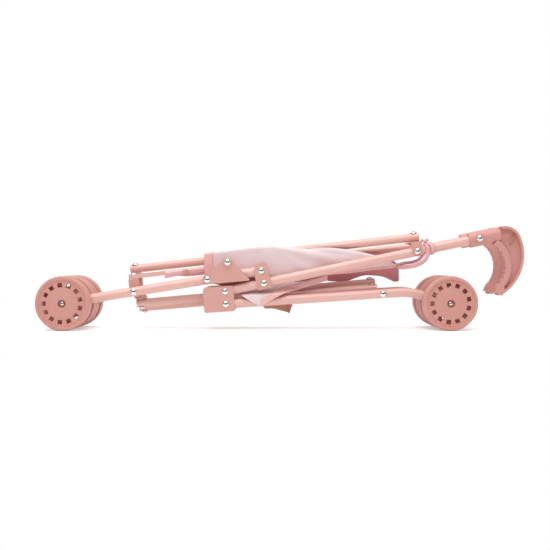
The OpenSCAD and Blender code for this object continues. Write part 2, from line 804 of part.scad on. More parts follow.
color(paint) on_side(false) rear_leg();  // rear_leg_near
color(paint) on_side(true) rear_leg();  // rear_leg_far
color(paint) on_side(false) side_plate();  // side_plate_near
color(paint) on_side(true) side_plate();  // side_plate_far
color(steel) on_side(false) rear_rivets();  // rear_rivets_near
color(steel) on_side(true) rear_rivets();  // rear_rivets_far
color(steel) on_side(false) axle(rear_hub);  // rear_axle_near
color(steel) on_side(true) axle(rear_hub);  // rear_axle_far

color(paint) on_side(false) handle_tube();  // handle_tube_near
color(paint) on_side(true) handle_tube();  // handle_tube_far
color(paint) on_side(false) pivot_clip();  // pivot_clip_near
color(paint) on_side(true) pivot_clip();  // pivot_clip_far
color(moulded) on_side(false) grip();  // grip_near
color(moulded) on_side(true) grip();  // grip_far
color(steel) on_side(false) grip_screw();  // grip_screw_near
color(steel) on_side(true) grip_screw();  // grip_screw_far
color(steel) on_side(false) handle_rivets();  // handle_rivets_near
color(steel) on_side(true) handle_rivets();  // handle_rivets_far

color(paint) on_side(false) front_leg();  // front_leg_near
color(paint) on_side(true) front_leg();  // front_leg_far
color(paint) on_side(false) knee_plate();  // knee_plate_near
color(paint) on_side(true) knee_plate();  // knee_plate_far
color(steel) on_side(false) front_rivets();  // front_rivets_near
color(steel) on_side(true) front_rivets();  // front_rivets_far
color(steel) on_side(false) axle(front_hub);  // front_axle_near
color(steel) on_side(true) axle(front_hub);  // front_axle_far

color(paint) on_side(false) upper_back_bracket();  // upper_back_bracket_near
color(paint) on_side(true) upper_back_bracket();  // upper_back_bracket_far
color(steel) on_side(false) upper_back_rivet(false);  // upper_back_rivet_near
color(steel) on_side(true) upper_back_rivet(true);  // upper_back_rivet_far
color(paint)  // lower_back_bracket_near
    on_side(false) lower_back_bracket(lower_back_near_tab);
color(paint)  // lower_back_bracket_far
    on_side(true) lower_back_bracket(lower_back_far_tab);
color(steel)  // lower_back_rivet_near
    on_side(false) lower_back_rivet(lower_back_near_tab, lower_back_rise);
color(steel)  // lower_back_rivet_far
    on_side(true) lower_back_rivet(lower_back_far_tab, lower_back_rise + lower_layer);
color(paint)  // upper_front_bracket_near
    on_side(false) upper_front_bracket(upper_near_tab);
color(paint)  // upper_front_bracket_far
    on_side(true) upper_front_bracket(upper_far_tab);
color(paint)  // lower_front_bracket_near
    on_side(false) lower_front_bracket(lower_near_tab);
color(paint)  // lower_front_bracket_far
    on_side(true) lower_front_bracket(lower_far_tab);

color(paint)  // upper_brace_top
    place_upper(false, upper_top) brace_tube(upper_len, pin_hole_r);
color(paint)  // upper_brace_bottom
    place_upper(true, upper_bottom) brace_tube(upper_len, rivet_r + cross_play, true);
color(paint)  // lower_brace_top
    place_lower(true, lower_top) brace_tube(lower_len, pin_hole_r, false, -1);
color(paint)  // lower_brace_bottom
    place_lower(false, lower_bottom) brace_tube(lower_len, rivet_r + cross_play, false, 1);
color(steel)  // upper_top_end_rivet
    place_upper(false, upper_top) end_rivet(brace_r, -brace_r - head_play - bracket_t, false);
color(steel)  // upper_bottom_end_rivet
    place_upper(true, upper_bottom) end_rivet(brace_r, brace_r - flat_t - head_play - bracket_t, false);
color(steel)  // lower_top_end_rivet
    place_lower(true, lower_top) end_rivet(-brace_r, brace_r + head_play + bracket_t, false);
color(steel)  // lower_bottom_end_rivet
    place_lower(false, lower_bottom) end_rivet(-brace_r, brace_r + head_play + bracket_t, false);
color(steel)  // upper_cross_rivet
    place_upper(false, upper_top) translate([upper_len / 2, 0, 0]) cross_rivet(layer);
color(steel)  // lower_cross_rivet
    place_lower(true, lower_top) translate([lower_len / 2, 0, 0]) cross_rivet(lower_layer);

color(moulded)  // front_wheel_near_outer
    on_side(false) wheel_pair(front_hub, true);
color(moulded)  // front_wheel_near_inner
    on_side(false) wheel_pair(front_hub, false);
color(moulded)  // front_wheel_far_inner
    on_side(true) wheel_pair(front_hub, false);
color(moulded)  // front_wheel_far_outer
    on_side(true) wheel_pair(front_hub, true);
color(moulded)  // rear_wheel_near_outer
    on_side(false) wheel_pair(rear_hub, true);
color(moulded)  // rear_wheel_near_inner
    on_side(false) wheel_pair(rear_hub, false);
color(moulded)  // rear_wheel_far_inner
    on_side(true) wheel_pair(rear_hub, false);
color(moulded)  // rear_wheel_far_outer
    on_side(true) wheel_pair(rear_hub, true);

color(cloth) back_cloth();
color(cloth) seat_cloth();
color(binding) tie_strap();
color(binding) seat_belt();
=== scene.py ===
# %% [markdown]
# # A folded doll stroller
# This lesson dresses a ready-made CAD model of a folding doll stroller: painted steel tubes, moulded
# wheels and hooks, plated rivets and a thin cloth seat. The hard parts come from the CAD file and only
# get a finish here. The cloth, its bound edges and its ties are made here, because cloth is a thin
# sheet with folds, and a CAD solid can only hold its place.

# %% Load the frame and measure it
import json
from math import atan, degrees, exp, pi, radians, sin

import bmesh
import bpy
from mathutils import Euler, Matrix, Vector


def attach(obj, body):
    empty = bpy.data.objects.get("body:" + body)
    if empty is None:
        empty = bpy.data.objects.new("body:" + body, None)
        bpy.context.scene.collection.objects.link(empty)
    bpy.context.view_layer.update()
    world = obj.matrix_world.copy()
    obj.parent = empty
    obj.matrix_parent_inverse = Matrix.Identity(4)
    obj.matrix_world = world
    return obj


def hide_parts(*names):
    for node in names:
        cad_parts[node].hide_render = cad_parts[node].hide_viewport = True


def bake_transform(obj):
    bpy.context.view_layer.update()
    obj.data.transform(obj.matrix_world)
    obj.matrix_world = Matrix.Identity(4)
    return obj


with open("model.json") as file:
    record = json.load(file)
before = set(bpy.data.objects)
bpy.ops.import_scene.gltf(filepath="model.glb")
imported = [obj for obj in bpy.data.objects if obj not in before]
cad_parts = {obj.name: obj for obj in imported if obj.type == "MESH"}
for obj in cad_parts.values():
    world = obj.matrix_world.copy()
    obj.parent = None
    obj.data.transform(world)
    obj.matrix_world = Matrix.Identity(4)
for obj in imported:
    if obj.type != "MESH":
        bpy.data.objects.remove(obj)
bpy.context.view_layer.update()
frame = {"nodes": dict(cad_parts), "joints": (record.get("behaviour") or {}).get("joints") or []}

MM = 0.001
nodes = frame["nodes"]

# %% [markdown]
# ## Colours and nodes
# A colour is written as the hex value that a designer would pick on a screen. Shaders work in linear
# light, so one function turns hex into linear. A second small function adds a shader node, sets its
# sockets and links its inputs, so that each material reads as a short list of what its surface does.
# A third turns a finished shape into an object.

# %% Colour and node helpers
def linear(code):
    channels = [int(code[i:i + 2], 16) / 255 for i in (1, 3, 5)]
    return tuple(c / 12.92 if c <= 0.04045 else ((c + 0.055) / 1.055) ** 2.4 for c in channels) + (1,)


def add(tree, kind, settings=(), **sockets):
    node = tree.nodes.new("ShaderNode" + kind)
    for name, value in dict(settings).items():
        setattr(node, name, value)
    for name, value in sockets.items():
        name = name.replace("_", " ")
        if isinstance(value, bpy.types.NodeSocket):
            tree.links.new(value, node.inputs[name])
        else:
            node.inputs[name].default_value = value
    return node


def new_surface(name):
    material = bpy.data.materials.new(name)
    material.use_nodes = True
    tree = material.node_tree
    tree.nodes.clear()
    return material, tree


def finish_surface(tree, shader):
    add(tree, "OutputMaterial", Surface=shader.outputs[0])


def new_object(name, shape, *materials, smooth=False):
    """Turn a finished bmesh into an object at the origin, with the materials in its slots."""
    for face in shape.faces:
        face.smooth = smooth
    mesh = bpy.data.meshes.new(name)
    shape.to_mesh(mesh)
    shape.free()
    piece = bpy.data.objects.new(name, mesh)
    bpy.context.collection.objects.link(piece)
    for material in materials:
        mesh.materials.append(material)
    return piece


print("salmon in linear light:", [round(v, 3) for v in linear("#edb9ad")])

# %% [markdown]
# ## Powder-coated steel
# The tubes and plates are steel with a baked powder coat. Powder melts into a smooth, slightly wavy
# film, known as orange peel, so highlights are soft and wobble a little. A clear, thin gloss lies on
# top. Broad patches are a shade paler, as an old coat has them. They fall anywhere, not where hands do.

# %% Powder coat
def powder_coat(name, body, worn, roughness):
    material, tree = new_surface(name)
    place = add(tree, "TexCoord")
    patches = add(tree, "TexNoise", Vector=place.outputs["Object"], Scale=1 / (45 * MM), Detail=3.0)
    fade = add(tree, "MapRange", From_Min=0.35, From_Max=0.75, To_Max=0.35, Value=patches.outputs["Fac"])
    colour = add(tree, "MixRGB", Fac=fade.outputs[0], Color1=linear(body), Color2=linear(worn))
    # Orange peel is about a millimetre across and a few hundredths of a millimetre deep
    peel = add(tree, "TexNoise", Vector=place.outputs["Object"], Scale=1 / (1.4 * MM), Detail=1.0)
    bump = add(tree, "Bump", Strength=0.22, Distance=0.06 * MM, Height=peel.outputs["Fac"])
    shader = add(
        tree, "BsdfPrincipled", Base_Color=colour.outputs[0], Roughness=roughness, Normal=bump.outputs[0]
    )
    shader.inputs["Coat Weight"].default_value = 0.25
    shader.inputs["Coat Roughness"].default_value = 0.16
    finish_surface(tree, shader)
    return material


tube_coat = powder_coat("powder_coated_tube_steel", "#ecbab0", "#f3c6bb", 0.36)
plate_coat = powder_coat("powder_coated_sheet_steel", "#dfa599", "#eeb9ae", 0.42)
print("powder coats:", tube_coat.name, plate_coat.name)

# %% [markdown]
# ## Moulded polypropylene
# Wheels and hooks are injection-moulded. The mould's surface is spark-eroded, so the plastic carries a
# fine even grain and a low sheen, and its colour runs all the way through. A little dust and rubbing
# makes broad, barely visible patches.

# %% Moulded plastic
def moulded_plastic(name, body, dusty, roughness):
    material, tree = new_surface(name)
    place = add(tree, "TexCoord")
    patches = add(tree, "TexNoise", Vector=place.outputs["Object"], Scale=1 / (28 * MM), Detail=4.0)
    fade = add(tree, "MapRange", From_Min=0.4, From_Max=0.8, To_Max=0.4, Value=patches.outputs["Fac"])
    colour = add(tree, "MixRGB", Fac=fade.outputs[0], Color1=linear(body), Color2=linear(dusty))
    grain = add(tree, "TexNoise", Vector=place.outputs["Object"], Scale=1 / (0.5 * MM), Detail=2.0)
    bump = add(tree, "Bump", Strength=0.3, Distance=0.05 * MM, Height=grain.outputs["Fac"])
    shader = add(
        tree, "BsdfPrincipled", Base_Color=colour.outputs[0], Roughness=roughness, Normal=bump.outputs[0]
    )
    finish_surface(tree, shader)
    return material


wheel_plastic = moulded_plastic("moulded_polypropylene_wheel", "#d89a8e", "#dda79c", 0.5)
hook_plastic = moulded_plastic("moulded_polypropylene_hook", "#d99c91", "#d99f95", 0.52)
print("plastics:", wheel_plastic.name, hook_plastic.name)

# %% [markdown]
# ## Nickel-plated rivets
# The rivet heads are stamped steel with bright nickel on it. A smooth metal shows the room, so its own
# colour is nearly neutral and its roughness is low, with faint rubbing marks that are finer than the
# head is wide.

# %% Nickel plate
def nickel_plate():
    material, tree = new_surface("nickel_plated_steel")
    place = add(tree, "TexCoord")
    rub = add(tree, "TexNoise", Vector=place.outputs["Object"], Scale=1 / (0.7 * MM), Detail=2.0)
    rough = add(tree, "MapRange", To_Min=0.05, To_Max=0.12, Value=rub.outputs["Fac"])
    shader = add(
        tree, "BsdfPrincipled", Base_Color=linear("#d9d5d0"), Metallic=1.0, Roughness=rough.outputs[0]
    )
    finish_surface(tree, shader)
    return material


rivet_nickel = nickel_plate()
print("metal:", rivet_nickel.name)

# %% [markdown]
# ## Give each CAD part its finish
# A CAD part keeps its mesh and its place, and only its material slots change. The part's name says
# what it is, so a short table of words is enough.

# %% Dress the CAD parts
FINISHES = [
    (("rivet", "screw", "axle"), rivet_nickel),
    (("wheel",), wheel_plastic),
    (("grip",), hook_plastic),
    (("plate", "clip", "bracket"), plate_coat),
    (("tube", "leg", "brace"), tube_coat),
]


def dress(node):
    for words, material in FINISHES:
        if any(word in node.name for word in words):
            node.data.materials.clear()
            node.data.materials.append(material)
            return material.name
    return None


dressed = {name: dress(node) for name, node in nodes.items()}
print("dressed", sum(v is not None for v in dressed.values()), "of", len(dressed), "CAD parts")

# %% [markdown]
# ## The studio
# The stroller lies on a white sweep under soft light from above and in front. The floor looks white to
# the camera and to shiny metal, and the world looks white to the camera, while the light that falls on
# the object stays at a plain level, so that each colour renders about as it is written. A dark card
# far behind the camera gives the rivets something dark to show.

# %% Floor and world
def white_floor():
    """A floor that lights the object as plain white paint does. The camera and shiny metal see it with
    some glow added near the object, so that its shadow stays, and pure white further away."""
    material, tree = new_surface("white_studio_floor")
    ray = add(tree, "LightPath")
    lit = add(tree, "BsdfDiffuse", Color=linear("#f4f4f4"))
    glow = add(tree, "Emission", Color=linear("#ffffff"), Strength=0.4)
    both = add(tree, "AddShader")
    tree.links.new(lit.outputs[0], both.inputs[0])
    tree.links.new(glow.outputs[0], both.inputs[1])
    place = add(tree, "SeparateXYZ", Vector=add(tree, "TexCoord").outputs["Object"])
    away = add(tree, "Math", {"operation": "ABSOLUTE"})
    tree.links.new(place.outputs["Y"], away.inputs[0])
    fade = add(tree, "MapRange", From_Min=0.10, From_Max=0.32, Value=away.outputs[0])
    white = add(tree, "Emission", Color=linear("#ffffff"), Strength=1.0)
    sweep = add(tree, "MixShader", Fac=fade.outputs[0])
    tree.links.new(both.outputs[0], sweep.inputs[1])
    tree.links.new(white.outputs[0], sweep.inputs[2])
    eye = add(tree, "Math", {"operation": "MAXIMUM"})
    tree.links.new(ray.outputs["Is Camera Ray"], eye.inputs[0])
    tree.links.new(ray.outputs["Is Glossy Ray"], eye.inputs[1])
    seen = add(tree, "MixShader", Fac=eye.outputs[0])
    tree.links.new(lit.outputs[0], seen.inputs[1])
    tree.links.new(sweep.outputs[0], seen.inputs[2])
    finish_surface(tree, seen)
    return material


floor_shape = bmesh.new()
bmesh.ops.create_grid(floor_shape, x_segments=1, y_segments=1, size=6)
new_object("floor", floor_shape, white_floor())

card_shape = bmesh.new()
bmesh.ops.create_grid(card_shape, x_segments=1, y_segments=1, size=0.5,
                      matrix=Matrix.LocRotScale(Vector((0, -2.5, 0.98)), Euler((radians(90), 0, 0)),
                                                Vector((6, 1.9, 1))))
card_paint, tree = new_surface("black_card")
finish_surface(tree, add(tree, "BsdfDiffuse", Color=linear("#161616")))
card = new_object("dark_card", card_shape, card_paint)
card.visible_camera = False  # from behind, the card would stand in the view as a black wall

world = bpy.data.worlds.new("studio")
bpy.context.scene.world = world
world.use_nodes = True
tree = world.node_tree
tree.nodes.clear()
ray = add(tree, "LightPath")
shown = add(tree, "Math", {"operation": "MAXIMUM"})
tree.links.new(ray.outputs["Is Camera Ray"], shown.inputs[0])
tree.links.new(ray.outputs["Is Transmission Ray"], shown.inputs[1])
level = add(tree, "MapRange", To_Min=0.62, To_Max=1.0, Value=shown.outputs[0])
sky = add(tree, "Background", Color=linear("#ffffff"), Strength=level.outputs[0])
add(tree, "OutputWorld", Surface=sky.outputs[0])
print("floor and world ready")

# %% Lamps
def softbox(name, place, aim, size, watts):
    lamp = bpy.data.lights.new(name, "AREA")
    lamp.shape = "RECTANGLE"
    lamp.size, lamp.size_y = size
    lamp.energy = watts
    holder = bpy.data.objects.new(name, lamp)
    bpy.context.collection.objects.link(holder)
    holder.location = place
    holder.rotation_euler = (Vector(aim) - Vector(place)).to_track_quat("-Z", "Y").to_euler()


softbox("top_softbox", (0, -0.25, 1.5), (0, 0, 0.05), (1.8, 1.2), 16)
softbox("front_softbox", (-0.3, -1.45, 1.5), (0, 0, 0.06), (1.2, 0.8), 10)

# %% [markdown]
# ## The camera
# The view is straight from the side, a little above the wheels' height, from just over a metre away,
# so the far wheels show beside the near ones.

# %% Camera
lens = bpy.data.cameras.new("side_view")
lens.sensor_width = 36
camera = bpy.data.objects.new("side_view", lens)
bpy.context.collection.objects.link(camera)
bpy.context.scene.camera = camera
CAMERA_Y = -1.18
NEAR_SIDE_Y = -0.049
VIEW_WIDTH = 0.698  # metres across the frame at the near wheels
TILT_DOWN = 0.835  # degrees
lens.angle = 2 * atan(VIEW_WIDTH / 2 / (NEAR_SIDE_Y - CAMERA_Y))
camera.location = (-0.0074, CAMERA_Y, 0.088)
camera.rotation_euler = (radians(90 - TILT_DOWN), 0, 0)
bpy.context.scene.view_settings.view_transform = "Standard"
print("lens angle:", round(degrees(lens.angle), 1), "degrees")

# %% [markdown]
# ## Cloth as thin sheets
# The seat is thin woven polyester. Each piece of it is a flat cut that is bent in space, so each one
# starts as a grid, and a function says where every point of the cut hangs. The grid keeps a UV map in
# metres of the cut, so the weave follows the cut, and it is squeezed where a piece tapers. A Solidify
# modifier then gives the sheet its thickness, with a second finish on its inner side: for the seat, the
# same cloth in a darker rose, which is painted shade for the seat's shaded inside.

# %% Curves and sheets
def curve(stations):
    """A smooth line through (place, value, value...) stations."""
    def at(place):
        last = len(stations) - 2
        k = max(i for i in range(last + 1) if i == 0 or stations[i][0] <= place)
        p = [stations[min(max(k + j, 0), last + 1)] for j in (-1, 0, 1, 2)]
        t = min(max((place - p[1][0]) / (p[2][0] - p[1][0]), 0), 1)
        found = []
        for a, b, c, d in zip(*(q[1:] for q in p)):
            found.append(0.5 * (2 * b + (c - a) * t + (2 * a - 5 * b + 4 * c - d) * t * t
                                + (3 * b - a - 3 * c + d) * t ** 3))
        return found[0] if len(found) == 1 else Vector(found)
    return at


def step(low, high, value):
    t = min(max((value - low) / (high - low), 0), 1)
    return t * t * (3 - 2 * t)


FOLD = next(joint for joint in frame["joints"] if joint["name"] == "fold")
BEHIND_PIVOT = 70.6  # millimetres from the main pivot back to where the cloth is measured from
PIVOT = Vector((FOLD["pos_m"][0] / MM + BEHIND_PIVOT, 0, 0))
CLOTH_THICK = 0.5


def hang_sheet(name, cut, segments, place, finishes):
    """A grid cut to size in millimetres, hung where place(u, v) says, with finishes for its two sides.
    Places are in millimetres, measured along x from BEHIND_PIVOT behind the main pivot."""
    shape = bmesh.new()
    across, along = segments
    bmesh.ops.create_grid(shape, x_segments=across, y_segments=along, size=0.5)
    weave = shape.loops.layers.uv.new("cut")
    for face in shape.faces:
        for loop in face.loops:
            corner = loop.vert.co
            loop[weave].uv = ((corner.x + 0.5) * cut[0] * MM, (corner.y + 0.5) * cut[1] * MM)
    for vert in shape.verts:
        vert.co = (Vector(place(vert.co.x + 0.5, vert.co.y + 0.5)) + PIVOT) * MM
    piece = new_object(name, shape, *finishes, smooth=True)
    body = piece.modifiers.new("cloth_thickness", "SOLIDIFY")
    body.thickness = CLOTH_THICK * MM
    body.offset = 0
    body.use_even_offset = False
    body.material_offset = len(finishes) - 1
    return piece


print("a curve halfway between 0 and 1:", round(curve([(0, 0), (1, 1)])(0.5), 2))

# %% [markdown]
# ## Woven polyester, its inner side in painted shade and the bound edges
# The cloth is a fine plain weave with a satin sheen, so it is pale where it faces the light. Threads
# run every quarter of a millimetre or so on such cloth, and here they are drawn 0.9 mm apart, several
# times coarser, so that they can be seen. The bindings use the same weave, drawn coarser again.

# %% Cloth finishes
def woven(name, pale, deep, thread, sheen, rough):
    material, tree = new_surface(name)
    cut = add(tree, "UVMap")
    waves = []
    for turn in (0, pi / 2):
        turned = add(tree, "Mapping", Vector=cut.outputs[0], Rotation=(0, 0, turn))
        waves.append(add(tree, "TexWave", {"wave_profile": "SIN"}, Vector=turned.outputs[0],
                         Scale=pi / 10 / (thread * MM), Distortion=0.6, Detail=1.0))
    threads = add(tree, "Math", {"operation": "MAXIMUM"})
    tree.links.new(waves[0].outputs["Fac"], threads.inputs[0])
    tree.links.new(waves[1].outputs["Fac"], threads.inputs[1])
    clouds = add(tree, "TexNoise", Vector=cut.outputs[0], Scale=1 / (30 * MM), Detail=2.0)
    mixed = add(tree, "MapRange", From_Min=0.3, From_Max=0.7, To_Max=1.0, Value=clouds.outputs["Fac"])
    colour = add(tree, "MixRGB", Fac=mixed.outputs[0], Color1=linear(pale), Color2=linear(deep))
    bump = add(tree, "Bump", Strength=0.25, Distance=0.08 * MM, Height=threads.outputs[0])
    shader = add(tree, "BsdfPrincipled", Base_Color=colour.outputs[0], Roughness=rough,
                 Normal=bump.outputs[0])
    shader.inputs["Sheen Weight"].default_value = sheen
    shader.inputs["Sheen Roughness"].default_value = 0.4
    finish_surface(tree, shader)
    return material


seat_weave = woven("woven_polyester_taffeta", "#f3dedf", "#ecd2d4", 0.9, 0.35, 0.55)
# The seat's inner side is the same cloth in a darker rose: painted shade for the inside of the seat, where
# little light falls.
shade_side_weave = woven("woven_polyester_lining", "#cf8a8e", "#c67f84", 0.9, 0.2, 0.7)
tape_weave = woven("ribbed_binding_tape", "#f6c2be", "#f0b8b5", 1.2, 0.3, 0.65)
tan_weave = woven("tan_webbing", "#c08d6f", "#b17d61", 1.4, 0.2, 0.75)
ribbon_weave = woven("satin_ribbon", "#efb9bd", "#e8abb0", 0.8, 0.4, 0.5)
rose_tape = woven("rose_binding_tape", "#c98080", "#bd7676", 1.2, 0.2, 0.7)
thread_finish = woven("pink_sewing_thread", "#eec0c2", "#e6b3b6", 0.6, 0.1, 0.6)
print("cloth finishes:", [m.name for m in (seat_weave, shade_side_weave, tape_weave, tan_weave, ribbon_weave)])

# %% [markdown]
# ## The seat back
# When the stroller is folded, the seat back lies over the crossed tubes like a saddle blanket: a panel
# inside each side frame, joined over the top at the front, and pulled to a corner at the handles. The
# near panel's top edge runs along the crossed tube and then falls to the handle tube.

# %% Shape of the seat back
# All in millimetres. HALF is from the middle out to each side panel. The seat back starts at FRONT_X and
# is NEAR_RUN long on the near side and FAR_EXTRA longer on the far side. Of its cut's width, the first and
# last SIDE_SHARE hang as side panels, and the rest spans the top as far back as SADDLE_END.
HALF = 15.4
FRONT_X = -98
NEAR_RUN = 253
FAR_EXTRA = 5
SIDE_SHARE = 0.4
top_edge = curve([(-98, 98.0), (-81, 100.6), (-53, 104.0), (-20, 107.0), (-10, 107.2), (7, 106.9),
                  (30, 107.0), (53, 106.9), (70, 106.4), (90, 104.4), (102, 102.3), (113, 99.8),
                  (124, 97.0), (140, 91.5), (155, 84.0)])
near_hem = curve([(-98, 69.5), (-60, 68.5), (0, 67.5), (40, 68.5), (67, 71.9), (93, 74.0), (118, 77.5),
                  (144, 79.9), (150, 81.1), (155, 83.0)])
far_top = curve([(-98, 98.0), (-81, 100.6), (-53, 104.0), (-20, 107.0), (-10, 107.2), (7, 105.0),
                 (30, 101.5), (60, 99.0), (100, 97.5), (130, 96.0), (150, 92.0), (160, 84.0)])
# The far panel hangs lower than the near one, so that its inner side, in the darker rose of painted shade,
# fills the space below the near hem.
far_hem = curve([(-98, 60), (-60, 54), (-20, 56), (0, 60), (40, 62), (56, 64.2), (67, 62.4), (89, 62.4),
                 (112, 69.6), (127, 69.8), (140, 67.8), (155, 61.5), (160, 63)])
SADDLE_END = -9.0


def ridge(x, z, start, end, wide):
    """How near a point is to a soft fold that runs from start to end."""
    a, b, p = Vector(start), Vector(end), Vector((x, z))
    t = (p - a).dot(b - a) / (b - a).length_squared
    away = (p - a - (b - a) * t).length
    return exp(-(away / wide) ** 2) * step(-0.25, 0.15, t) * (1 - step(0.85, 1.3, t))


def panel_folds(x, z):
    lift = 2.6 * ridge(x, z, (6, 106), (112, 90), 5.5)
    lift += 2.0 * ridge(x, z, (22, 100), (96, 84), 4.5)
    lift += 2.2 * ridge(x, z, (52, 106), (138, 90), 5.0)
    lift -= 1.6 * ridge(x, z, (30, 106), (120, 92), 4.0)
    lift += 1.6 * ridge(x, z, (-6, 104), (40, 76), 6.0)
    return lift * step(-8, 18, x) * (1 - 0.6 * step(140, 153, x))


def seat_back_at(u, v):
    far = step(SIDE_SHARE, 1 - SIDE_SHARE, v)
    x = FRONT_X + (NEAR_RUN + FAR_EXTRA * far) * u
    top = top_edge(x) * (1 - far) + far_top(x) * far
    if v < SIDE_SHARE or v > 1 - SIDE_SHARE:
        side = -1 if v < 0.5 else 1
        hem = near_hem(x) if side < 0 else far_hem(x)
        rise = (v if v < 0.5 else 1 - v) / SIDE_SHARE
        z = hem + (top - hem) * rise
        tuck = 1.8 * step(0.9, 1.0, rise) * step(-20, 30, x)
        y = side * (HALF + panel_folds(x, z) - tuck - 1.2 * exp(-(z - hem) / 5.0))
        return x, y, z
    across = (v - 0.5) / (0.5 - SIDE_SHARE)
    return x, across * HALF, top + 0.8 * (1 - across * across)


def over_the_top(face):
    """Is a face part of the span between the panels, behind the saddle's end?"""
    middle = face.calc_center_median()
    behind = middle.x > (SADDLE_END + PIVOT.x) * MM
    between = abs(middle.y) < (HALF - 0.4) * MM
    return behind and between and face.normal.z ** 2 > 0.5


seat_back = hang_sheet("seat_back", (258, 110), (126, 60), seat_back_at, (seat_weave, shade_side_weave))
shape = bmesh.new()
shape.from_mesh(seat_back.data)
notch = [face for face in shape.faces if over_the_top(face)]
bmesh.ops.delete(shape, geom=notch, context="FACES")
shape.to_mesh(seat_back.data)
shape.free()
print("seat back faces:", len(seat_back.data.polygons))

# %% Place the seat back
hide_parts("back_cloth")
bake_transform(seat_back)

# %% [markdown]
# ## Bound edges
# The front edge of the seat back and its lower hem are bound with ribbed tape, folded over the raw
# edge and sewn with one row of stitches. Each binding is a strip of its own that lies 0.7 mm outside
# the cloth, on its outer side only, and the stitches are small pads sunk into the tape.

# %% Strips and stitches
def bind(name, cut, segments, place, finish=None):
    """A thin tape over an edge of the cloth."""
    return hang_sheet(name, cut, segments, place, (finish or tape_weave,))


def stitch_row(name, place, count, size):
    """Stitches of a size in millimetres along place(t), each laid towards the next."""
    shape = bmesh.new()
    for i in range(count):
        here, ahead = (Vector(place((i + k) / count)) for k in (0.3, 0.7))
        turn = (ahead - here).to_track_quat("X", "Z").to_euler()
        spot = Matrix.LocRotScale(((here + ahead) / 2 + PIVOT) * MM, turn, Vector(size))
        bmesh.ops.create_icosphere(shape, subdivisions=1, radius=0.5 * MM, matrix=spot)
    return new_object(name, shape, thread_finish, smooth=True)


def ride_back(piece):
    """Bake a piece's place into its mesh, as is done for the seat back, which spans the two handle tubes.
    """
    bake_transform(piece)


def outward(point, by):
    """A point of the seat back moved off the cloth."""
    x, y, z = point
    if abs(y) > HALF - 2:
        return x, y + (by if y > 0 else -by), z
    return x, y, z + by


# Millimetres: how far the tape stands off the cloth, and where the hem band starts, its length and height
TAPE_OFF = 0.7
BAND_X = 20
BAND_LEN = 134
BAND_HIGH = 4.6


def front_binding_at(u, v):
    return outward(seat_back_at(0.046 * u - 0.002, v), TAPE_OFF)


def near_band_at(u, v):
    x = BAND_X + BAND_LEN * u
    beside = seat_back_at((x - FRONT_X) / NEAR_RUN, 0)[1]
    return x, beside - TAPE_OFF, near_hem(x) - 0.6 + BAND_HIGH * v


front_binding = bind("front_binding", (12, 110), (10, 60), front_binding_at)
near_band = bind("near_hem_band", (140, 5), (70, 4), near_band_at)
for piece in (front_binding, near_band):
    ride_back(piece)
STITCH = (1.5, 0.5, 0.5)  # millimetres: length, width and height


def front_stitch_at(t):
    return outward(seat_back_at(0.040, 0.02 + 0.37 * t), 1.05)


def hem_stitch_at(t):
    along = 2 + 128 * t
    u = along / BAND_LEN
    return BAND_X + along, near_band_at(u, 0.7)[1] - 0.35, near_band_at(u, 0.72)[2]


stitches = [
    stitch_row("front_binding_stitches", front_stitch_at, 16, STITCH),
    stitch_row("near_hem_stitches", hem_stitch_at, 64, STITCH),
]
for piece in stitches:
    ride_back(piece)
print("bindings:", front_binding.name, near_band.name)
print("stitch faces:", [len(piece.data.polygons) for piece in stitches])

# %% [markdown]
# ## The lower flap
# The seat's lower edge comes out between the handle tube and the rear leg and hangs over the leg's
# outer side as a pointed flap. Its lower edge is bound. Behind the leg hangs the flap's tan patch,
# the webbing that stiffens the seat's bottom.

# %% Flap shape
# Millimetres: where the flap starts and its length, the tube's plane, how far outside it the leg carries
# the flap, and where the binding starts and its length
FLAP_X = -52
FLAP_LEN = 114.5
TUBE_SIDE = 17.1
LEG_OUT = 15.0
FLAP_TAPE_X = -24.5
FLAP_TAPE_LEN = 87
flap_low = curve([(-52, 46.0), (-40, 38.7), (-30, 33.2), (-24.5, 31.0), (-15, 36.2), (-5.8, 41.9),
                  (7.2, 48.4), (20.2, 51.6), (28.3, 54.0), (46.2, 58.9), (62.5, 63.8)])
flap_rise = curve([(-52, 26), (2, 26), (14, 13), (30, 8.5), (46, 7.5), (62.5, 7)])


def tube_under(x):
    """The height of the handle tube's underside."""
    return 50 + (x + BEHIND_PIVOT) * 0.208 - 6.2


def leg_top(x):
    """The height of the rear leg's upper side."""
    return 33.6 + (x + 69.6) * 0.0659 + 6.1


def flap_skin(x, z, off=0.0):
    """A point of the flap: outside the leg when low, inside the handle tube when high."""
    out = 1 - step(leg_top(x) + 2.0, min(leg_top(x) + 8.2, tube_under(x) + 0.5), z)
    return x, -(TUBE_SIDE + LEG_OUT * out + off), z


def flap_at(u, v):
    x = FLAP_X + FLAP_LEN * u
    low = flap_low(x)
    high = min(tube_under(x) + 2.5, low + flap_rise(x))
    return flap_skin(x, low + (high - low) * v)


def tape_height(u):
    """The height of the flap's binding, which narrows towards the wheels."""
    return 9.2 - 2.4 * u


def flap_binding_at(u, v):
    x = FLAP_TAPE_X + FLAP_TAPE_LEN * u
    return flap_skin(x, flap_low(x) - 0.4 + tape_height(u) * v, 0.65)


def flap_stitch_at(t):
    x = -22 + 82 * t
    return flap_skin(x, flap_low(x) + tape_height(t) - 1.6, 1.0)


def patch_at(u, v):
    x = -22.5 + 33 * u
    low = patch_low(x)
    return x, -16.3 - 0.8 * sin(pi * v), low + (39 - low) * v


def patch_end_at(u, v):
    x = 10.5 + 6 * u
    low = patch_low(x)
    return x, -16.0 - 1.6 * sin(pi * u), low + (39 - low) * v


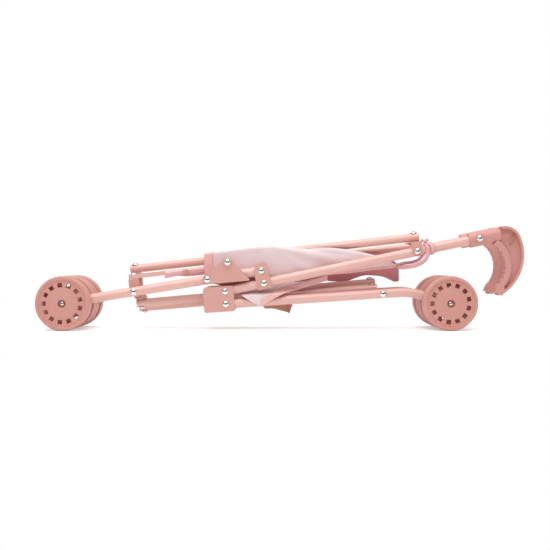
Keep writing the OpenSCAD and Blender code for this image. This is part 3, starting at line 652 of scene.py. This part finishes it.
patch_low = curve([(-22.5, 31.0), (-19, 27.4), (-8.5, 27.2), (5.4, 24.0), (10.5, 22.4),
                   (13, 21.8), (16.5, 31)])
flap = hang_sheet("seat_flap", (116, 26), (114, 26), flap_at, (seat_weave, shade_side_weave))
flap_binding = bind("flap_binding", (94, 10), (87, 8), flap_binding_at)
patch = bind("tan_patch", (34, 17), (34, 14), patch_at, tan_weave)
patch_end = bind("patch_binding", (9, 17), (10, 14), patch_end_at, rose_tape)
flap_stitches = stitch_row("flap_stitches", flap_stitch_at, 42, STITCH)
print("flap:", len(flap.data.polygons), "faces, its binding:", len(flap_binding.data.polygons))

# %% Place the flap
for piece in (flap, flap_binding, flap_stitches):
    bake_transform(piece)
for piece in (patch, patch_end):
    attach(piece, "rear_near")
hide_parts("seat_cloth")
print("flap placed")

# %% [markdown]
# ## The tie ribbon
# A satin ribbon is sewn to the corner of the seat. It is wound once round the near handle tube above
# the bracket and knotted on top, and it keeps the folded frame shut. It is a flat strap, so a strip is
# swept along its path, with its width kept square to the path and to the way out of the tube.

# %% Ribbon
def ribbon_strip(name, path, turns, wide):
    """A strip along path, whose flat side faces the way given by turns."""
    line, facing = curve(path), curve(turns)

    def place(u, v):
        here = line(u)
        along = (line(min(u + 0.01, 1)) - line(max(u - 0.01, 0))).normalized()
        side = along.cross(facing(u)).normalized()
        return here + side * wide * (v - 0.5)
    return hang_sheet(name, (90, wide), (120, 3), place, (ribbon_weave,))


RIBBON_PATH = [
    (0.0, 154, -17.0, 81.5), (0.07, 160, -19.5, 81.0), (0.15, 167, -23, 81.8),
    (0.24, 176.4, -28.2, 83.9), (0.32, 184.6, -31.5, 88.2), (0.39, 189.4, -32.3, 94),
    (0.46, 191.2, -32.2, 101), (0.53, 190.6, -31.2, 107.5), (0.59, 188.6, -26.5, 111.9),
    (0.65, 189.6, -20.0, 110.2), (0.71, 192.0, -17.9, 104.8), (0.77, 194.6, -20.2, 98.8),
    (0.83, 196.6, -26.5, 98.0), (0.89, 197.8, -31.9, 102.6), (0.95, 196.4, -31.4, 109.4),
    (1.0, 192.8, -27.0, 113.6),
]
RIBBON_TURNS = [
    (0.0, 0, -1, 0.1), (0.24, 0, -1, -0.2), (0.39, 0, -1, -0.15), (0.53, 0, -1, 0.5),
    (0.59, 0.1, -0.2, 1), (0.65, 0, 0.8, 0.6), (0.71, 0, 1, 0), (0.77, 0, 0.7, -0.8),
    (0.83, 0.1, -0.3, -1), (0.89, 0, -1, -0.1), (0.95, 0, -1, 0.5), (1.0, 0, -0.4, 1),
]
INNER_PATH = [
    (0.0, 154.5, -16.6, 84.5), (0.3, 164, -17.0, 86.6), (0.6, 174, -17.4, 88.0),
    (0.8, 182, -17.4, 91.5), (1.0, 188, -17.6, 98.5),
]
INNER_TURNS = [(0.0, 0, -1, 0), (1.0, 0, -1, 0)]
ribbon = ribbon_strip("tie_ribbon", RIBBON_PATH, RIBBON_TURNS, 5.2)
inner_strand = ribbon_strip("tie_ribbon_inner", INNER_PATH, INNER_TURNS, 4.0)
knot_shape = bmesh.new()
# The knot's body and its two loops: middle, size and tilt
for middle, size, tilt in (
    ((188.2, -25.6, 114.6), (6.4, 5.0, 4.2), 0.5),
    ((184.6, -22.8, 116.0), (5.2, 1.2, 3.6), -0.9),
    ((191.4, -23.6, 116.6), (4.8, 1.2, 3.2), 0.8),
):
    spot = Matrix.LocRotScale((Vector(middle) + PIVOT) * MM, Euler((0, tilt, 0.2)), Vector(size))
    bmesh.ops.create_icosphere(knot_shape, subdivisions=3, radius=0.5 * MM, matrix=spot)
knot = new_object("tie_knot", knot_shape, ribbon_weave, smooth=True)
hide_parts("tie_strap")
for piece in (ribbon, inner_strand, knot):
    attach(piece, "handle_near")
print("ribbon ready")

# %% [markdown]
# ## The safety strap
# A short strap of webbing with a small moulded buckle lies along the lower one of the two upper
# crossed tubes, near its front end.

# %% Strap and buckle
STRAP_X = -150
STRAP_LEN = 53
STRAP_WIDE = 6.0
strap_line = curve([(-150, 69.8), (-136, 72.6), (-123, 74.6), (-110, 75.6), (-97, 76.8)])


def strap_at(u, v):
    x = STRAP_X + STRAP_LEN * u
    middle = -12 + (x + 191) * 0.065
    return x, middle - 6.2 - 0.5 * sin(3 * pi * u) ** 2, strap_line(x) + STRAP_WIDE * (v - 0.5)


strap = bind("safety_strap", (55, 6), (50, 6), strap_at, ribbon_weave)
buckle_shape = bmesh.new()
bmesh.ops.create_cube(buckle_shape, size=1.0, matrix=Matrix.LocRotScale(
    (Vector((-122.5, -16.6, 74.9)) + PIVOT) * MM, Euler((0, -0.1, 0)), Vector((6.2, 3.2, 7.4)) * MM))
bmesh.ops.bevel(buckle_shape, geom=buckle_shape.edges[:], offset=0.9 * MM, segments=3,
                affect="EDGES", profile=0.5)
buckle = new_object("buckle", buckle_shape, wheel_plastic, smooth=True)
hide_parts("seat_belt")
for piece in (strap, buckle):
    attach(piece, "upper_brace_bottom")
print("strap and buckle ready")
